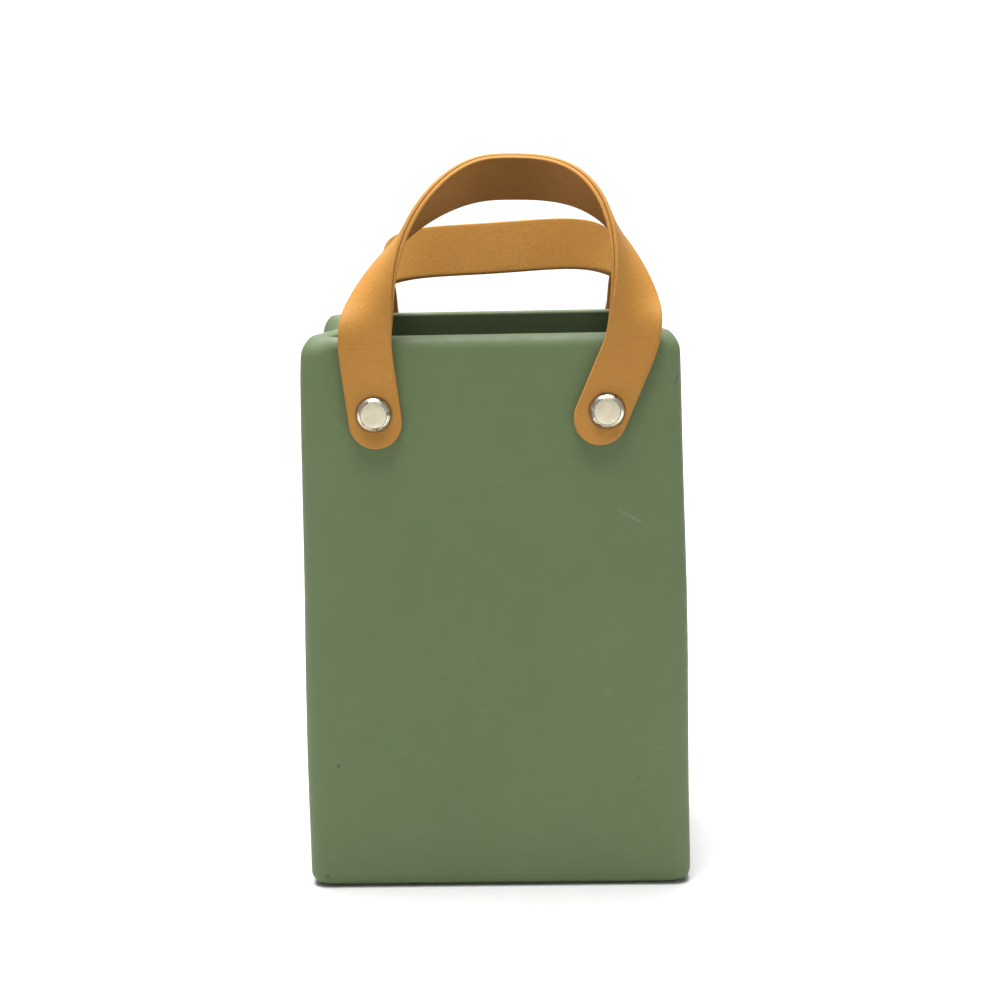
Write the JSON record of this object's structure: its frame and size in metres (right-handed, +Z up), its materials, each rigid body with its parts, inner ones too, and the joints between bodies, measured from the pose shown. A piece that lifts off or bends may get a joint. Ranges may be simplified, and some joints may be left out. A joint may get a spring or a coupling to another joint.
{
  "type": "ceramic bag vase",
  "caption": "Upright ceramic vase shaped like a gusseted paper bag, with a soft two-layer leather strap handle studded to its front and rear walls.",
  "frame": {"origin": "centre of the foot, on the surface the vase stands on", "axes": "+X to the viewer's right along the wide front wall, -Y out of the front wall, +Z up"},
  "size_m": [0.118, 0.084, 0.2238],
  "materials": {
    "clay": "matt, smooth",
    "leather_face": "smooth tan",
    "leather_lining": "brown suede",
    "stud_metal": "polished",
    "screw_steel": "satin",
    "washer_rubber": "matt"
  },
  "bodies": {
    "vase": {"ceramic_body": "clay", "front_left_tab_outer": "leather_face", "front_left_tab_lining": "leather_lining", "front_right_tab_outer": "leather_face", "front_right_tab_lining": "leather_lining", "rear_left_tab_outer": "leather_face", "rear_left_tab_lining": "leather_lining", "rear_right_tab_outer": "leather_face", "rear_right_tab_lining": "leather_lining", "front_left_stud": "stud_metal", "front_right_stud": "stud_metal", "rear_left_stud": "stud_metal", "rear_right_stud": "stud_metal", "front_left_screw": "screw_steel", "front_right_screw": "screw_steel", "rear_left_screw": "screw_steel", "rear_right_screw": "screw_steel", "front_left_washer": "washer_rubber", "front_right_washer": "washer_rubber", "rear_left_washer": "washer_rubber", "rear_right_washer": "washer_rubber"},
    "front_handle": {"front_strap_outer": "leather_face", "front_strap_lining": "leather_lining"},
    "rear_handle": {"rear_strap_outer": "leather_face", "rear_strap_lining": "leather_lining"}
  },
  "joints": [
    {"name": "front_handle_fold", "type": "hinge", "parent": "vase", "child": "front_handle", "pos_m": [0, -0.03891, 0.166], "axis": [1, 0, 0], "range_deg": [-6, 110], "stiffness_Nm_per_rad": 0.05},
    {"name": "rear_handle_fold", "type": "hinge", "parent": "vase", "child": "rear_handle", "pos_m": [0, 0.03891, 0.166], "axis": [-1, 0, 0], "range_deg": [-8, 120], "stiffness_Nm_per_rad": 0.05}
  ]
}
